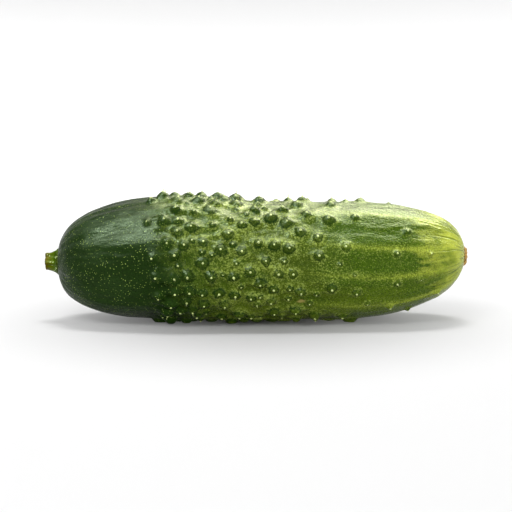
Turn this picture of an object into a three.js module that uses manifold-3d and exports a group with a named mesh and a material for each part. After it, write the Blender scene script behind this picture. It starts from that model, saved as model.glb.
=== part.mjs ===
// A pickling cucumber, picked and lying on its side: the warty fruit, the stub of the stem it was cut
// from and the dry corky scar where its flower dropped off.
//
// Millimetres, +Z up. +X runs from the stem to the flower end, and the fruit rests on z = 0 on the
// planed-off tips of its lowest warts. A bearing turns round the fruit: 0 faces -Y, 90 faces up.
//
// The skin is a turned form raised by formulas: ten low ribs, and warts that each carry the stub of a
// spine. Its points are scattered rings round each wart with wider rings of points between them.
import * as THREE from "three";
import { ConvexHull } from "three/addons/math/ConvexHull.js";
import { mergeVertices } from "three/addons/utils/BufferGeometryUtils.js";
import Module from "manifold-3d";

const wasm = await Module();
wasm.setup();

// ---- Driving dimensions ----------------------------------------------------------------------

const FRUIT_LENGTH = 126.8;

// Skin radius of the belly on the stem's side and on the flower's side, if it ran on to either pole,
// and the shares of the length between which it passes from one to the other.
const STEM_SIDE_RADIUS = 18.95;
const FLOWER_SIDE_RADIUS = 17.9;
const BELLY_CHANGE = { from: 0.24, to: 0.5 };

// Each end closes over its own length. Both are blunter than an ellipse, whose power is 2.
const SHOULDER_LENGTH = 33;
const SHOULDER_POWER = 2.8;
const TIP_LENGTH = 37;
const TIP_POWER = 2.38;

// The belly's lowest line is level. The axis droops a little to the stem and lifts to the flower end.
const BELLY_CLEARANCE = 1;
const STEM_DROOP = { height: 1.25, length: 36 };
const TIP_LIFT = { height: 1.9, length: 46 };

// Ribs: where each crest lies, half the width of a crest, and how far it stands up along the fruit.
const RIB_BEARINGS = [18, 57, 94, 130, 165, 199, 233, 268, 315, 349];
const RIB_HALF_WIDTH = 21;
const RIB_HEIGHT_AT_STEM = 0.3;
const RIB_HEIGHT_AT_FLOWER = 0.5;
const RIB_FADE_RADIUS = 12;

// Warts: how many are tried for, and the room between their centres, with the share of it where they
// are sparse. Then their size, and how high and how round a dome is for its radius.
const WART_SEED = 20;
const WART_TRIES = 2100;
const WART_SPACING = 3.6;
const WART_SPARSE_SPACING = 2;
const WART_RADIUS = { small: 1.8, large: 2.65 };
const WART_RISE = 0.46;
const WART_TOP_POWER = 2.4;
const WART_FOOT_POWER = 1.5;

// Warts shrink towards the flower end: the share left there, and where along the fruit they do it.
const WART_TIP_END_SIZE = 0.6;
const WART_SHRINKING = { from: 0.62, to: 0.9 };

// How crowded the warts are, from 0 to 1, at shares of the fruit's length from the stem.
const WART_CROWDING = [
  [0.225, 0],
  [0.26, 1],
  [0.5, 1],
  [0.66, 0.5],
  [0.72, 0.17],
  [0.93, 0.1],
  [0.96, 0],
];

// The warts that carry the fruit: shares of the walk over the skin from pole to pole, and bearings
// either side of straight down.
const FOOT_SHARES = [0.29, 0.7];
const FOOT_BEARINGS = [-11, 11];
const FOOT_WART_RADIUS = 3.05;

// The stub of a spine on each wart: a small pyramid.
const SPINE_FOOT_RADIUS = 0.5;
const SPINE_RISE = 0.3;

// Stem stub: the ring that lies against the fruit, the neck, the cut end and its five ribs.
const STEM_BASE_RADIUS = 4.1;
const STEM_NECK_RADIUS = 2.55;
const STEM_CUT_RADIUS = 2.65;
const STEM_OUTSIDE_LENGTH = 3.9;
const STEM_SUNK = 0.7;
const STEM_RIBS = 5;
const STEM_RIB_HEIGHT = 0.28;
const STEM_SIDES = 30;

// Flower scar: a thin corky disc with a ragged edge and a small hollow in its face.
const SCAR_RADIUS = 3.1;
const SCAR_OUTSIDE_LENGTH = 1.1;
const SCAR_SUNK = 0.5;
const SCAR_HOLLOW = 0.45;
const SCAR_RAGGEDNESS = 0.16;
const SCAR_SIDES = 36;

// Room left round a piece that sits in a socket of the fruit.
const SOCKET_GAP = 0.3;

// Points of the skin mesh: the rings round a wart, as [share of its radius, points], and the spacing
// of the points between the warts.
const WART_RINGS = [
  [0.6, 6],
  [1, 9],
];
const SPINE_POINTS = 4;
const OPEN_SPACING_ALONG = 4.2;
const OPEN_SPACING_AROUND = 3.3;
const OPEN_MARGIN = 1;
const FEWEST_RING_POINTS = 8;
const CLOSEST_POINTS = 0.45;

// ---- Small helpers ---------------------------------------------------------------------------

// Stations at which the outline is measured once, crowded towards both poles.
const OUTLINE_STEPS = 600;

const clampShare = (value) => Math.min(1, Math.max(0, value));

// A stream of numbers from 0 to 1 that is the same on every run.
function numberStream(seed) {
  let state = seed;
  return () => {
    state = (Math.imul(state, 1664525) + 1013904223) >>> 0;
    return state / 4294967296;
  };
}

// The value at x on the straight lines between a list of [x, value] points.
function along(points, x) {
  const next = points.findIndex(([at]) => at > x);
  if (next === 0) return points[0][1];
  if (next < 0) return points[points.length - 1][1];
  const [x0, value0] = points[next - 1];
  const [x1, value1] = points[next];
  return THREE.MathUtils.mapLinear(x, x0, x1, value0, value1);
}

// An angle brought to between -pi and pi.
function wrapped(angle) {
  return angle - 2 * Math.PI * Math.round(angle / (2 * Math.PI));
}

function solidFrom(geometry) {
  const bare = geometry.clone();
  bare.deleteAttribute("normal");
  bare.deleteAttribute("uv");
  const merged = mergeVertices(bare, 1e-4);
  return new wasm.Manifold(
    new wasm.Mesh({
      numProp: 3,
      vertProperties: new Float32Array(merged.attributes.position.array),
      triVerts: new Uint32Array(merged.index.array),
    }),
  );
}

function geometryFrom(solid) {
  const mesh = solid.getMesh();
  const geometry = new THREE.BufferGeometry();
  geometry.setAttribute("position", new THREE.BufferAttribute(mesh.vertProperties, 3));
  geometry.setIndex(new THREE.BufferAttribute(mesh.triVerts, 1));
  geometry.computeVertexNormals();
  return geometry;
}

// ---- The fruit's outline ---------------------------------------------------------------------

function bellyRadius(x) {
  const change = THREE.MathUtils.smoothstep(x / FRUIT_LENGTH, BELLY_CHANGE.from, BELLY_CHANGE.to);
  return THREE.MathUtils.lerp(STEM_SIDE_RADIUS, FLOWER_SIDE_RADIUS, change);
}

// The share of the belly radius that is left at a distance from a pole.
function endShare(distance, length, power) {
  const inward = 1 - clampShare(distance / length);
  return (1 - inward * inward) ** (1 / power);
}

function skinRadius(x) {
  return (
    bellyRadius(x) *
    endShare(x, SHOULDER_LENGTH, SHOULDER_POWER) *
    endShare(FRUIT_LENGTH - x, TIP_LENGTH, TIP_POWER)
  );
}

// How high the fruit's axis lies above the floor.
function axisHeight(x) {
  const droop = STEM_DROOP.height * clampShare(1 - (x / STEM_DROOP.length) ** 2) ** 2;
  const lift = TIP_LIFT.height * clampShare(1 - (FRUIT_LENGTH - x) / TIP_LIFT.length) ** 2;
  return bellyRadius(x) + BELLY_CLEARANCE - droop + lift;
}

// The outline, measured from the stem's pole: for each station x and the radius, the length walked
// over the skin, and the same length counted in radii of the place where it is walked.
function measureOutline() {
  const stations = [{ x: 0, radius: 0, walked: 0, turned: 0 }];
  for (let i = 1; i <= OUTLINE_STEPS; i++) {
    const x = (FRUIT_LENGTH * (1 - Math.cos((Math.PI * i) / OUTLINE_STEPS))) / 2;
    const radius = i === OUTLINE_STEPS ? 0 : skinRadius(x);
    const last = stations[i - 1];
    const step = Math.hypot(x - last.x, radius - last.radius);
    stations.push({
      x,
      radius,
      walked: last.walked + step,
      turned: last.turned + step / ((radius + last.radius) / 2),
    });
  }
  return stations;
}

const OUTLINE = measureOutline();
const WALK_LENGTH = OUTLINE[OUTLINE_STEPS].walked;

// The place on the outline at a length walked from the stem's pole, with its outward direction.
function outlineAt(walked) {
  let low = 0;
  let high = OUTLINE_STEPS;
  while (high - low > 1) {
    const middle = (low + high) >> 1;
    if (OUTLINE[middle].walked <= walked) low = middle;
    else high = middle;
  }
  const from = OUTLINE[low];
  const to = OUTLINE[high];
  const step = to.walked - from.walked;
  const share = (walked - from.walked) / step;
  return {
    x: THREE.MathUtils.lerp(from.x, to.x, share),
    radius: THREE.MathUtils.lerp(from.radius, to.radius, share),
    turned: THREE.MathUtils.lerp(from.turned, to.turned, share),
    outX: (from.radius - to.radius) / step,
    outRadius: (to.x - from.x) / step,
  };
}

// ---- Ribs and warts --------------------------------------------------------------------------

// How far the ribs lift the skin at a place of the outline and a bearing in radians.
function ribLift(place, bearing) {
  const halfWidth = THREE.MathUtils.degToRad(RIB_HALF_WIDTH);
  const crest = RIB_BEARINGS.reduce((sum, degrees) => {
    const off = Math.abs(wrapped(bearing - THREE.MathUtils.degToRad(degrees))) / halfWidth;
    return off < 1 ? sum + (1 + Math.cos(Math.PI * off)) / 2 : sum;
  }, 0);
  const height = THREE.MathUtils.lerp(RIB_HEIGHT_AT_STEM, RIB_HEIGHT_AT_FLOWER, place.x / FRUIT_LENGTH);
  return height * clampShare(place.radius / RIB_FADE_RADIUS) ** 2 * crest;
}

// The distance over the skin from a wart's centre.
function distanceFrom(wart, walked, bearing) {
  return Math.hypot(walked - wart.walked, wart.girth * wrapped(bearing - wart.bearing));
}

function makeWart(walked, bearing, radius, hasSpine) {
  return { walked, bearing, radius, hasSpine, girth: outlineAt(walked).radius };
}

// The warts that the fruit lies on come first. The rest are tried at random and kept where they have
// room and where that part of the fruit is crowded enough.
function growWarts() {
  const draw = numberStream(WART_SEED);
  const warts = [];
  for (const share of FOOT_SHARES) {
    for (const off of FOOT_BEARINGS) {
      const bearing = THREE.MathUtils.degToRad(270 + off);
      warts.push(makeWart(share * WALK_LENGTH, bearing, FOOT_WART_RADIUS, false));
    }
  }
  for (let i = 0; i < WART_TRIES; i++) {
    const walked = draw() * WALK_LENGTH;
    const bearing = 2 * Math.PI * draw();
    const size = draw();
    const luck = draw();
    const place = outlineAt(walked);
    const share = place.x / FRUIT_LENGTH;
    const crowding = along(WART_CROWDING, share) * (place.radius / STEM_SIDE_RADIUS);
    const roominess = THREE.MathUtils.lerp(WART_SPARSE_SPACING, 1, clampShare(crowding));
    const spacing = roominess * WART_SPACING;
    if (luck > crowding) continue;
    if (warts.some((wart) => distanceFrom(wart, walked, bearing) < spacing)) continue;
    const tipEnd = THREE.MathUtils.smoothstep(share, WART_SHRINKING.from, WART_SHRINKING.to);
    const radius =
      THREE.MathUtils.lerp(WART_RADIUS.small, WART_RADIUS.large, size) *
      THREE.MathUtils.lerp(1, WART_TIP_END_SIZE, tipEnd);
    warts.push(makeWart(walked, bearing, radius, true));
  }
  return warts;
}

const WARTS = growWarts();

// How far one wart lifts the skin at a distance from its centre: a dome with a soft foot.
function wartLift(wart, distance) {
  const off = distance / wart.radius;
  if (off >= 1) return 0;
  return WART_RISE * wart.radius * (1 - off ** WART_TOP_POWER) ** WART_FOOT_POWER;
}

// ---- The skin's points and faces -------------------------------------------------------------

// One point of the skin, in the part's frame.
function skinPoint(walked, bearing, extraLift) {
  const place = outlineAt(walked);
  const highestWart = WARTS.reduce(
    (most, wart) => Math.max(most, wartLift(wart, distanceFrom(wart, walked, bearing))),
    0,
  );
  const lift = ribLift(place, bearing) + highestWart + extraLift;
  const radius = place.radius + lift * place.outRadius;
  return new THREE.Vector3(
    place.x + lift * place.outX,
    -radius * Math.cos(bearing),
    axisHeight(place.x) + radius * Math.sin(bearing),
  );
}

// Points in rings round every wart, with the spine's own foot and tip, then open rings between them.
function scatterPoints() {
  const points = [];
  const add = (walked, bearing, lift = 0) => {
    const girth = outlineAt(walked).radius;
    const crowded = points.some(
      (other) =>
        Math.hypot(walked - other.walked, girth * wrapped(bearing - other.bearing)) < CLOSEST_POINTS,
    );
    if (!crowded) points.push({ walked, bearing, lift });
  };
  const addRing = (wart, radius, count) => {
    for (let i = 0; i < count; i++) {
      const turn = (2 * Math.PI * i) / count;
      add(
        wart.walked + radius * Math.cos(turn),
        wart.bearing + (radius * Math.sin(turn)) / wart.girth,
      );
    }
  };
  for (const wart of WARTS) {
    add(wart.walked, wart.bearing, wart.hasSpine ? SPINE_RISE : 0);
    if (wart.hasSpine) addRing(wart, SPINE_FOOT_RADIUS, SPINE_POINTS);
  }
  for (const [share, count] of WART_RINGS) {
    for (const wart of WARTS) addRing(wart, share * wart.radius, count);
  }
  const rows = Math.round(WALK_LENGTH / OPEN_SPACING_ALONG);
  for (let row = 1; row < rows; row++) {
    const walked = (row / rows) * WALK_LENGTH;
    const girth = outlineAt(walked).radius;
    const count = Math.max(
      FEWEST_RING_POINTS,
      Math.round((2 * Math.PI * girth) / OPEN_SPACING_AROUND),
    );
    for (let i = 0; i < count; i++) {
      const bearing = (2 * Math.PI * (i + (row % 2) / 2)) / count;
      const inWart = WARTS.some(
        (wart) => distanceFrom(wart, walked, bearing) < wart.radius + OPEN_MARGIN,
      );
      if (!inWart) add(walked, bearing);
    }
  }
  return points;
}

// A point of the skin on a ball, with angles kept, as on a sea chart that is rolled up again.
function onBall({ walked, bearing }) {
  const turned = outlineAt(walked).turned - OUTLINE[OUTLINE_STEPS].turned / 2;
  const round = 1 / Math.cosh(turned);
  return new THREE.Vector3(Math.tanh(turned), round * Math.cos(bearing), round * Math.sin(bearing));
}

// Joins the points into triangles that face out: those of the ball's convex hull are well shaped,
// because the ball keeps the angles between neighbours.
function joinPoints(ballPoints) {
  const indexOf = new Map(ballPoints.map((point, i) => [point, i]));
  const hull = new ConvexHull().setFromPoints(ballPoints);
  return hull.faces.flatMap((face) => {
    const corners = [];
    let edge = face.edge;
    do {
      corners.push(indexOf.get(edge.head().point));
      edge = edge.next;
    } while (edge !== face.edge);
    return corners;
  });
}

function skinSolid() {
  const scattered = scatterPoints();
  const stemPole = new THREE.Vector3(0, 0, axisHeight(0));
  const tipPole = new THREE.Vector3(FRUIT_LENGTH, 0, axisHeight(FRUIT_LENGTH));
  const places = [
    ...scattered.map(({ walked, bearing, lift }) => skinPoint(walked, bearing, lift)),
    stemPole,
    tipPole,
  ];
  const onTheBall = [
    ...scattered.map(onBall),
    new THREE.Vector3(-1, 0, 0),
    new THREE.Vector3(1, 0, 0),
  ];
  // The ball is a mirror image, because bearings turn the other way on it, so the triangles turn too.
  const corners = joinPoints(onTheBall);
  for (let i = 0; i < corners.length; i += 3) {
    [corners[i + 1], corners[i + 2]] = [corners[i + 2], corners[i + 1]];
  }
  return new wasm.Manifold(
    new wasm.Mesh({
      numProp: 3,
      vertProperties: new Float32Array(places.flatMap((place) => place.toArray())),
      triVerts: new Uint32Array(corners),
    }),
  );
}

// ---- Pieces ----------------------------------------------------------------------------------

// A round piece turned about a line along +X through the given point. Its outline is a list of
// [x, radius], from the axis back to the axis, that runs from the +X end to the -X end.
function turnedAlongX(outline, sides, centre) {
  const profile = outline.map(([x, radius]) => new THREE.Vector2(radius, -x));
  const geometry = new THREE.LatheGeometry(profile, sides);
  geometry.rotateZ(Math.PI / 2);
  geometry.translate(...centre);
  return geometry;
}

// Moves each vertex of a piece turned along X out or in by a formula of its bearing and its x.
function reshapeRound(geometry, centre, factor) {
  const position = geometry.attributes.position;
  for (let i = 0; i < position.count; i++) {
    const y = position.getY(i) - centre[1];
    const z = position.getZ(i) - centre[2];
    const share = factor(Math.atan2(z, -y), position.getX(i), Math.hypot(y, z));
    position.setY(i, centre[1] + y * share);
    position.setZ(i, centre[2] + z * share);
  }
  return geometry;
}

// The fruit: its skin, planed where it meets the floor, with a shallow socket at either end.
function fruitGeometry() {
  const floor = new THREE.BoxGeometry(2 * FRUIT_LENGTH, 4 * STEM_SIDE_RADIUS, 10);
  floor.translate(FRUIT_LENGTH / 2, 0, -5);
  const stemSocketRadius = STEM_BASE_RADIUS + STEM_RIB_HEIGHT + SOCKET_GAP;
  const stemSocket = turnedAlongX(
    [
      [STEM_SUNK + SOCKET_GAP, 0],
      [STEM_SUNK + SOCKET_GAP, stemSocketRadius],
      [-FRUIT_LENGTH, stemSocketRadius],
      [-FRUIT_LENGTH, 0],
    ],
    STEM_SIDES,
    [0, 0, axisHeight(0)],
  );
  const scarSocketRadius = SCAR_RADIUS + SCAR_RAGGEDNESS + SOCKET_GAP;
  const scarSocket = turnedAlongX(
    [
      [FRUIT_LENGTH, 0],
      [FRUIT_LENGTH, scarSocketRadius],
      [-SCAR_SUNK - SOCKET_GAP, scarSocketRadius],
      [-SCAR_SUNK - SOCKET_GAP, 0],
    ],
    SCAR_SIDES,
    [FRUIT_LENGTH, 0, axisHeight(FRUIT_LENGTH)],
  );
  return geometryFrom(
    skinSolid()
      .subtract(solidFrom(floor))
      .subtract(solidFrom(stemSocket))
      .subtract(solidFrom(scarSocket)),
  );
}

// The stem stub: a ribbed neck that flares where it meets the fruit and ends in a clean cut.
function stemGeometry() {
  const centre = [0, 0, axisHeight(0)];
  const outline = [
    [STEM_SUNK, 0],
    [STEM_SUNK, STEM_BASE_RADIUS],
    [-0.1, STEM_BASE_RADIUS],
    [-0.7, 3.5],
    [-1.5, 2.9],
    [-2.3, STEM_NECK_RADIUS],
    [-3.1, STEM_NECK_RADIUS + 0.1],
    [-STEM_OUTSIDE_LENGTH + 0.15, STEM_CUT_RADIUS],
    [-STEM_OUTSIDE_LENGTH, STEM_CUT_RADIUS - 0.2],
    [-STEM_OUTSIDE_LENGTH, 1],
    [-STEM_OUTSIDE_LENGTH + 0.25, 0],
  ];
  return reshapeRound(turnedAlongX(outline, STEM_SIDES, centre), centre, (bearing, x, radius) =>
    radius < 1.5 ? 1 : 1 + (STEM_RIB_HEIGHT / radius) * Math.cos(STEM_RIBS * bearing),
  );
}

// The flower scar: a ragged corky disc, hollow in the middle of its face.
function scarGeometry() {
  const centre = [FRUIT_LENGTH, 0, axisHeight(FRUIT_LENGTH)];
  const outline = [
    [SCAR_OUTSIDE_LENGTH - SCAR_HOLLOW - 0.2, 0],
    [SCAR_OUTSIDE_LENGTH - SCAR_HOLLOW, 1],
    [SCAR_OUTSIDE_LENGTH, 2.1],
    [SCAR_OUTSIDE_LENGTH - 0.25, 2.8],
    [SCAR_OUTSIDE_LENGTH - 0.7, SCAR_RADIUS],
    [-SCAR_SUNK, SCAR_RADIUS - 0.1],
    [-SCAR_SUNK, 0],
  ];
  return reshapeRound(turnedAlongX(outline, SCAR_SIDES, centre), centre, (bearing, x, radius) => {
    const wave = 0.6 * Math.sin(7 * bearing) + 0.4 * Math.sin(11 * bearing + 1);
    return radius < 1.5 ? 1 : 1 + (SCAR_RAGGEDNESS / radius) * wave;
  });
}

function piece(name, geometry, color, roughness) {
  const material = new THREE.MeshStandardMaterial({ color, roughness, metalness: 0 });
  const mesh = new THREE.Mesh(geometry, material);
  mesh.name = name;
  return mesh;
}

const cucumber = new THREE.Group();
cucumber.add(piece("fruit", fruitGeometry(), 0x4f6b26, 0.4));
cucumber.add(piece("stem_stub", stemGeometry(), 0x76861f, 0.6));
cucumber.add(piece("flower_scar", scarGeometry(), 0xa07642, 0.9));

// The frame's origin is on the floor under the middle of the whole cucumber.
const box = new THREE.Box3().setFromObject(cucumber);
const middle = box.getCenter(new THREE.Vector3());
cucumber.position.set(-middle.x, -middle.y, 0);

export default cucumber;
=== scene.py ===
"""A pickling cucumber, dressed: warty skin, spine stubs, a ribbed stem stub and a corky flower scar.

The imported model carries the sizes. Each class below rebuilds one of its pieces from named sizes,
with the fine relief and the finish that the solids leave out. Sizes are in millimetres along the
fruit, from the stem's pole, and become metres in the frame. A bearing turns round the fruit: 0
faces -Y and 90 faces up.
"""

from __future__ import annotations

import logging
import math
from collections.abc import Iterator, Mapping, Sequence
from dataclasses import dataclass, field
from enum import Enum

import bmesh
import bpy
import numpy as np
from mathutils import Matrix, Vector, noise

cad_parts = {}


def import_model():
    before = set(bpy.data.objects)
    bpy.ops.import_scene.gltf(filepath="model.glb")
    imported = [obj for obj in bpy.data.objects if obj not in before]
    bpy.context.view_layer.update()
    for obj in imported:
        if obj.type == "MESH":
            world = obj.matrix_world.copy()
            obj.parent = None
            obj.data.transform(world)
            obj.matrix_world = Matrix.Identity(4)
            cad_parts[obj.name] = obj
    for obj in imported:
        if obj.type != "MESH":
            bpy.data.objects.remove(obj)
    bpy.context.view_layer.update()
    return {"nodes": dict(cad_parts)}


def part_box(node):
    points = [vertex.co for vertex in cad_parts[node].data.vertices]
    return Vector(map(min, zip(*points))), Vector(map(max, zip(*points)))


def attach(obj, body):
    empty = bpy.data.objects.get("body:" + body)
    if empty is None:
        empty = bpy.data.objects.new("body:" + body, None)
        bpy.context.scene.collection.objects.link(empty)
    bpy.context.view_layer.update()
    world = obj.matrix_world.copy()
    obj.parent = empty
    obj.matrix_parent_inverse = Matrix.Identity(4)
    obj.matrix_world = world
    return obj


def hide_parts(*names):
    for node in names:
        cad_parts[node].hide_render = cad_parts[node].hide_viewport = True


LOG = logging.getLogger("cucumber")

MM = 0.001
FULL_TURN = 2 * math.pi
WELD = 1e-4
STREAM_FACTOR, STREAM_STEP, STREAM_SIZE = 1664525, 1013904223, 2**32

Colour = tuple[float, float, float]
Point = tuple[float, float, float]
Span = tuple[float, float]
Numbers = np.ndarray | float
Mesh = bpy.types.Mesh
Shape = bmesh.types.BMesh
Material = bpy.types.Material
Socket = bpy.types.NodeSocket
Piece = bpy.types.Object

WHITE: Colour = (1.0, 1.0, 1.0)
BLACK: Colour = (0.0, 0.0, 0.0)
MIX_SHARE, MIX_BELOW, MIX_ABOVE, MIX_RESULT = 0, 6, 7, 2
NOISE_SHIFT = Vector((1, 2, 3))


# ---- Numbers and patterns ----


def clamp_share(value: Numbers) -> Numbers:
    """Return the value held between 0 and 1."""
    return np.clip(value, 0.0, 1.0)


def smooth_share(value: Numbers, low: float, high: float) -> Numbers:
    """Return a smooth rise from 0 at low to 1 at high."""
    share = clamp_share((value - low) / (high - low))
    return share * share * (3 - 2 * share)


def mixed(low: Numbers, high: Numbers, share: Numbers | Value) -> Numbers | Value:
    """Return the value at a share of the way from low to high."""
    return low + (high - low) * share


def wrapped(angle: Numbers) -> Numbers:
    """Return an angle brought to between -pi and pi."""
    return angle - FULL_TURN * np.round(angle / FULL_TURN)


def number_stream(seed: int) -> Iterator[float]:
    """Yield numbers from 0 to 1 that are the same on every run.

    Args:
        seed: Where the stream starts.

    Yields:
        The next number.
    """
    state = seed
    while True:
        state = (state * STREAM_FACTOR + STREAM_STEP) % STREAM_SIZE
        yield state / STREAM_SIZE


@dataclass(frozen=True)
class Pattern:
    """A random pattern, as relief or in a finish.

    The size is the width of its marks in millimetres, detail the number of its finer layers, pace
    how fast it changes along the fruit against round it, and the seed sets it apart from others. Its
    marks grow from the first edge to the second, and depth is how far it swings.
    """

    size: float
    detail: float = 2
    pace: float = 1
    seed: float = 0
    edges: Span = (0, 1)
    depth: float = 1


def soft_noise(points: np.ndarray, pattern: Pattern) -> np.ndarray:
    """Return smooth noise at each point.

    Args:
        points: Places, one row each, in millimetres.
        pattern: The noise's size, pace and seed.

    Returns:
        One value a point, mostly between -0.6 and 0.6.
    """
    shift = NOISE_SHIFT * pattern.seed
    paced = points * [pattern.pace, 1, 1]
    return np.array([noise.noise(Vector(point) / pattern.size + shift) for point in paced])


# ---- Meshes ----


def coordinates_of(mesh: Mesh) -> np.ndarray:
    """Return a mesh's vertices.

    Args:
        mesh: The mesh.

    Returns:
        Their places, one row each.
    """
    flat = np.empty(len(mesh.vertices) * 3, np.float32)
    mesh.vertices.foreach_get("co", flat)
    return flat.reshape(-1, 3).astype(float)


def move_vertices(mesh: Mesh, places: np.ndarray) -> None:
    """Move the mesh's vertices to new places, one row each."""
    mesh.vertices.foreach_set("co", places.astype(np.float32).ravel())
    mesh.update()


def store_values(mesh: Mesh, values: Mapping[str, np.ndarray]) -> None:
    """Store numbers for the finish to read: under each name, one a vertex."""
    for name, numbers in values.items():
        mesh.attributes.new(name, "FLOAT", "POINT").data.foreach_set("value", numbers.astype(np.float32))


def finished_mesh(mesh: Mesh, shape: Shape) -> Mesh:
    """Write a shape into a mesh, smooth and with its faces pointing out.

    Args:
        mesh: The mesh.
        shape: The shape, which is freed.

    Returns:
        The mesh.
    """
    bmesh.ops.recalc_face_normals(shape, faces=shape.faces)
    for face in shape.faces:
        face.smooth = True
    shape.to_mesh(mesh)
    shape.free()
    return mesh


def turned_mesh(name: str, profile: Sequence[tuple[float, float]], steps: int, wedges: int = 1) -> Mesh:
    """Spin an outline round the X axis.

    Args:
        name: The mesh's name.
        profile: Points [x, radius] from one end to the other.
        steps: How many faces go round.
        wedges: How many equal parts of the turn are laid side by side, which saves time on a fine mesh.

    Returns:
        A smooth mesh whose faces point out.
    """
    wedge = bmesh.new()
    chain = [wedge.verts.new((x, -radius, 0)) for x, radius in profile]
    edges = [wedge.edges.new(pair) for pair in zip(chain, chain[1:])]
    bmesh.ops.spin(
        wedge,
        geom=chain + edges,
        cent=(0, 0, 0),
        axis=(1, 0, 0),
        angle=FULL_TURN / wedges,
        steps=steps // wedges,
        use_merge=wedges == 1,
    )
    mesh = bpy.data.meshes.new(name)
    wedge.to_mesh(mesh)
    wedge.free()
    shape = bmesh.new()
    for _ in range(wedges):
        shape.from_mesh(mesh)
        mesh.transform(Matrix.Rotation(FULL_TURN / wedges, 4, "X"))
    bmesh.ops.remove_doubles(shape, verts=shape.verts, dist=WELD)
    return finished_mesh(mesh, shape)


def polar(points: np.ndarray) -> tuple[np.ndarray, np.ndarray, np.ndarray]:
    """Return points as their places along the X axis, distances from it and bearings round it."""
    x, y, z = points.T
    return x, np.hypot(y, z), np.arctan2(z, -y)


def piece_of(name: str, mesh: Mesh, finish: Material) -> Piece:
    """Link a mesh into the scene as an object at the origin.

    Args:
        name: The object's name.
        mesh: Its mesh.
        finish: The mesh's material.

    Returns:
        The object.
    """
    mesh.materials.append(finish)
    piece = bpy.data.objects.new(name, mesh)
    bpy.context.scene.collection.objects.link(piece)
    return piece


# ---- Shader building ----


class Value:
    """A shader socket that takes part in Python sums, each of which adds a Math node."""

    def __init__(self, shader: Shader, socket: Socket) -> None:
        """Wrap an output socket of the shader."""
        self.shader = shader
        self.socket = socket

    def _math(self, operation: str, *inputs: Value | float) -> Value:
        """Return the result of a Math node on values and numbers."""
        node = self.shader.node("ShaderNodeMath", {"operation": operation}, dict(enumerate(inputs)))
        return Value(self.shader, node.outputs[0])

    def __add__(self, other: Value | float) -> Value:
        """Return self + other."""
        return self._math("ADD", self, other)

    def __radd__(self, other: float) -> Value:
        """Return other + self."""
        return self._math("ADD", other, self)

    def __sub__(self, other: Value | float) -> Value:
        """Return self - other."""
        return self._math("SUBTRACT", self, other)

    def __rsub__(self, other: float) -> Value:
        """Return other - self."""
        return self._math("SUBTRACT", other, self)

    def __mul__(self, other: Value | float) -> Value:
        """Return self * other."""
        return self._math("MULTIPLY", self, other)

    def __rmul__(self, other: float) -> Value:
        """Return other * self."""
        return self._math("MULTIPLY", other, self)

    def step(self, low: float, high: float) -> Value:
        """Return a smooth rise.

        Args:
            low: Where it is 0.
            high: Where it is 1, which may be below low.

        Returns:
            The rise.
        """
        ends = {"Value": self, "From Min": low, "From Max": high}
        node = self.shader.node("ShaderNodeMapRange", {"interpolation_type": "SMOOTHSTEP"}, ends)
        return Value(self.shader, node.outputs["Result"])


@dataclass(frozen=True)
class Coat:
    """A colour laid over others, and how much of them it covers at most."""

    colour: Colour
    cover: float


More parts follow.
